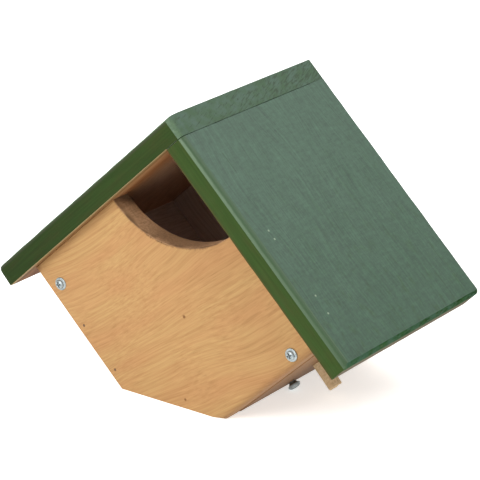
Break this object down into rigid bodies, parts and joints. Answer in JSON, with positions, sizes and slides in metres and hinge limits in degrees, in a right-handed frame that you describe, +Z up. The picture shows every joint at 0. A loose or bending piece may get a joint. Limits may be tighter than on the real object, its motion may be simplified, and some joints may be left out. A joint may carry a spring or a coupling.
{
  "type": "bird nest box",
  "caption": "Open-fronted wooden bird nest box set on its corner under a lapped pitched roof, with a swinging cleaning door, a pull peg and a latch screw.",
  "frame": {"origin": "under the middle of the box, on the plane of its flat bottom", "axes": "+Z up, +Y from the entrance to the wall, +X to the door's side"},
  "size_m": [0.2666, 0.154, 0.1909],
  "materials": {
    "roof_paint": "satin green paint",
    "panel_wood": "oiled bare wood",
    "door_wood": "oiled bare wood",
    "peg_wood": "bare wood",
    "zinc": "zinc plated",
    "pin_steel": "dull steel"
  },
  "bodies": {
    "house": {"left_roof_board": "roof_paint", "right_roof_board": "roof_paint", "front_panel": "panel_wood", "back_panel": "panel_wood", "left_side_board": "panel_wood", "floor_board": "panel_wood", "left_front_screw": "zinc", "left_back_screw": "zinc", "front_panel_pins": "pin_steel", "back_panel_pins": "pin_steel", "left_roof_pins": "pin_steel", "right_roof_pins": "pin_steel", "ridge_pins": "pin_steel"},
    "door": {"cleaning_door": "door_wood", "door_pull_peg": "peg_wood", "front_pivot_screw": "zinc", "back_pivot_screw": "zinc"},
    "latch": {"door_latch_screw": "zinc"}
  },
  "joints": [
    {"name": "door_swing", "type": "hinge", "parent": "house", "child": "door", "pos_m": [0.08872, 0, 0.05681], "axis": [0, -1, 0], "range_deg": [0, 100]},
    {"name": "latch_draw", "type": "slide", "parent": "door", "child": "latch", "axis": [0.6909, 0, -0.723], "range_m": [0, 0.012]}
  ]
}
